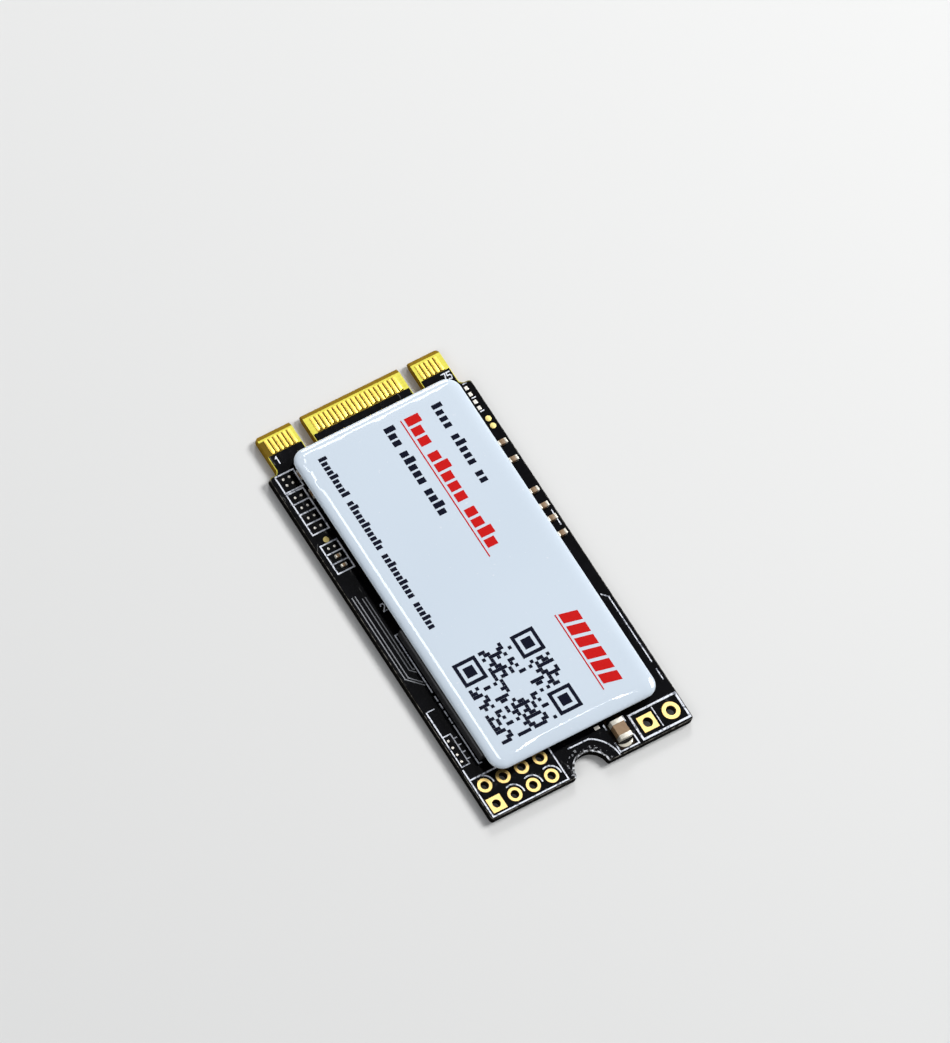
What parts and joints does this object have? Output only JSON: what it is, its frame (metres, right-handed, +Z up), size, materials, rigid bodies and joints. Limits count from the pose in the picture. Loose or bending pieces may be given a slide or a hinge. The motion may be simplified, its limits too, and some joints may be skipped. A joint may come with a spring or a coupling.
{
  "type": "gumstick solid state drive",
  "caption": "Narrow black circuit card with a gold edge connector, a half-round screw notch, wiring holes and memory chips under a thick glossy label.",
  "frame": {"origin": "middle of the card's outline, on its underside, where it rests", "axes": "+Y from the foot edge with the screw notch to the edge with the gold contacts, +Z up out of the labelled face, +X to the right seen from above"},
  "size_m": [0.022, 0.042, 0.0023],
  "materials": {
    "laminate": "satin olive-gold glass fibre",
    "solder_mask": "gloss black",
    "gold": "bright gold plate",
    "tin": "satin tin",
    "plated_lid": "satin",
    "white_ink": "matt",
    "tan_ceramic": "satin ceramic",
    "dark_ceramic": "satin ceramic",
    "ferrite": "matt",
    "mould_compound": "matt black",
    "label_film": "gloss pale blue-white",
    "dark_ink": "gloss near-black blue",
    "red_ink": "gloss red"
  },
  "bodies": {
    "root": {"bare_solder_pads": "tin", "capacitor_bodies": "tan_ceramic", "capacitor_ends": "tin", "circuit_board": "laminate", "contacts_bottom": "gold", "contacts_top": "gold", "controller": "mould_compound", "controller_solder_balls": "tin", "crystal_base": "dark_ceramic", "crystal_lid": "plated_lid", "flash_memory": "mould_compound", "flash_solder_balls": "tin", "header_pads": "gold", "inductor_ends": "tin", "input_capacitor_body": "tan_ceramic", "input_capacitor_ends": "tin", "input_capacitor_solder": "tin", "label": "label_film", "label_code_print": "dark_ink", "label_dark_print": "dark_ink", "label_red_print": "red_ink", "margin_capacitor_bodies": "tan_ceramic", "margin_capacitor_ends": "tin", "power_inductors": "ferrite", "power_regulator": "mould_compound", "resistor_bodies": "dark_ceramic", "resistor_ends": "tin", "silk_print": "white_ink", "solder_mask_bottom": "solder_mask", "solder_mask_top": "solder_mask", "startup_memory": "mould_compound", "supply_pads": "gold", "test_points": "gold"}
  },
  "joints": []
}
